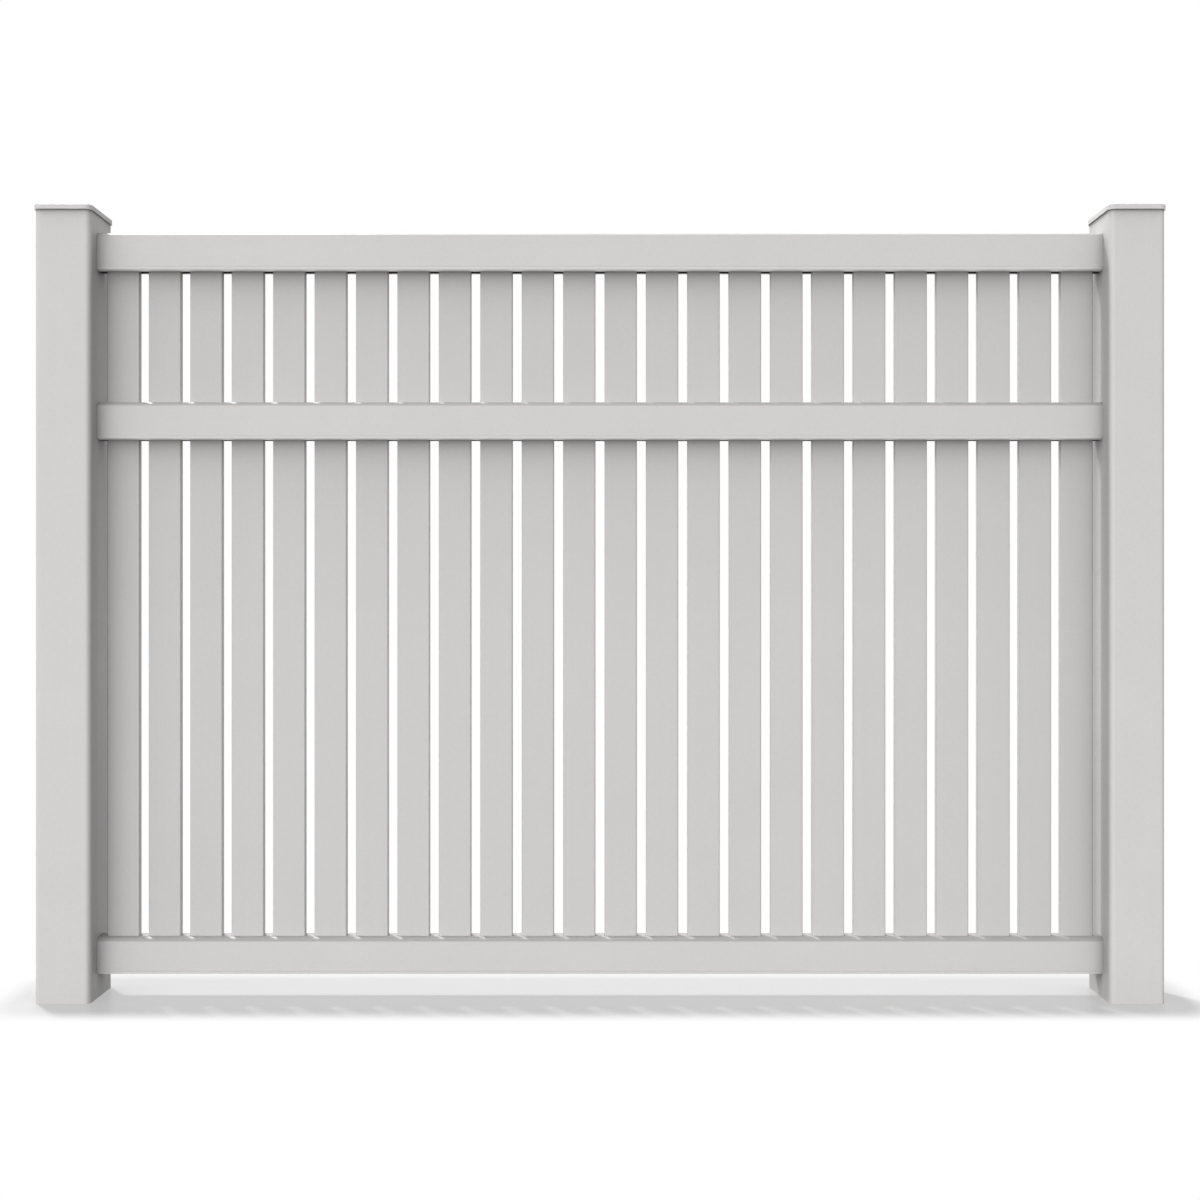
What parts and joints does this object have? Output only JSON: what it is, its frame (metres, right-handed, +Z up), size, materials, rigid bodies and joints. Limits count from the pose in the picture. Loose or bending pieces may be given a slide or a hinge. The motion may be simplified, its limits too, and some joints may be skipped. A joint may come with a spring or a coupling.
{
  "type": "semi-privacy fence panel",
  "caption": "Light grey vinyl fence bay: square capped posts joined by a top, middle and bottom rail, filled with flat upright pickets set a narrow gap apart.",
  "frame": {"origin": "middle of the left post's foot, on the ground line", "axes": "+X along the bay from the left post to the right post, -Y out of the front, +Z up"},
  "size_m": [2.5714, 0.133, 1.8125],
  "materials": {
    "light_grey_vinyl": "satin extruded vinyl, light warm grey, with faint draw lines along each extrusion"
  },
  "bodies": {
    "root": {"left_post": "light_grey_vinyl", "right_post": "light_grey_vinyl", "left_post_cap": "light_grey_vinyl", "right_post_cap": "light_grey_vinyl", "bottom_rail": "light_grey_vinyl", "middle_rail": "light_grey_vinyl", "top_rail": "light_grey_vinyl", "picket_01": "light_grey_vinyl", "picket_02": "light_grey_vinyl", "picket_03": "light_grey_vinyl", "picket_04": "light_grey_vinyl", "picket_05": "light_grey_vinyl", "picket_06": "light_grey_vinyl", "picket_07": "light_grey_vinyl", "picket_08": "light_grey_vinyl", "picket_09": "light_grey_vinyl", "picket_10": "light_grey_vinyl", "picket_11": "light_grey_vinyl", "picket_12": "light_grey_vinyl", "picket_13": "light_grey_vinyl", "picket_14": "light_grey_vinyl", "picket_15": "light_grey_vinyl", "picket_16": "light_grey_vinyl", "picket_17": "light_grey_vinyl", "picket_18": "light_grey_vinyl", "picket_19": "light_grey_vinyl", "picket_20": "light_grey_vinyl", "picket_21": "light_grey_vinyl", "picket_22": "light_grey_vinyl", "picket_23": "light_grey_vinyl", "picket_24": "light_grey_vinyl"}
  },
  "joints": []
}
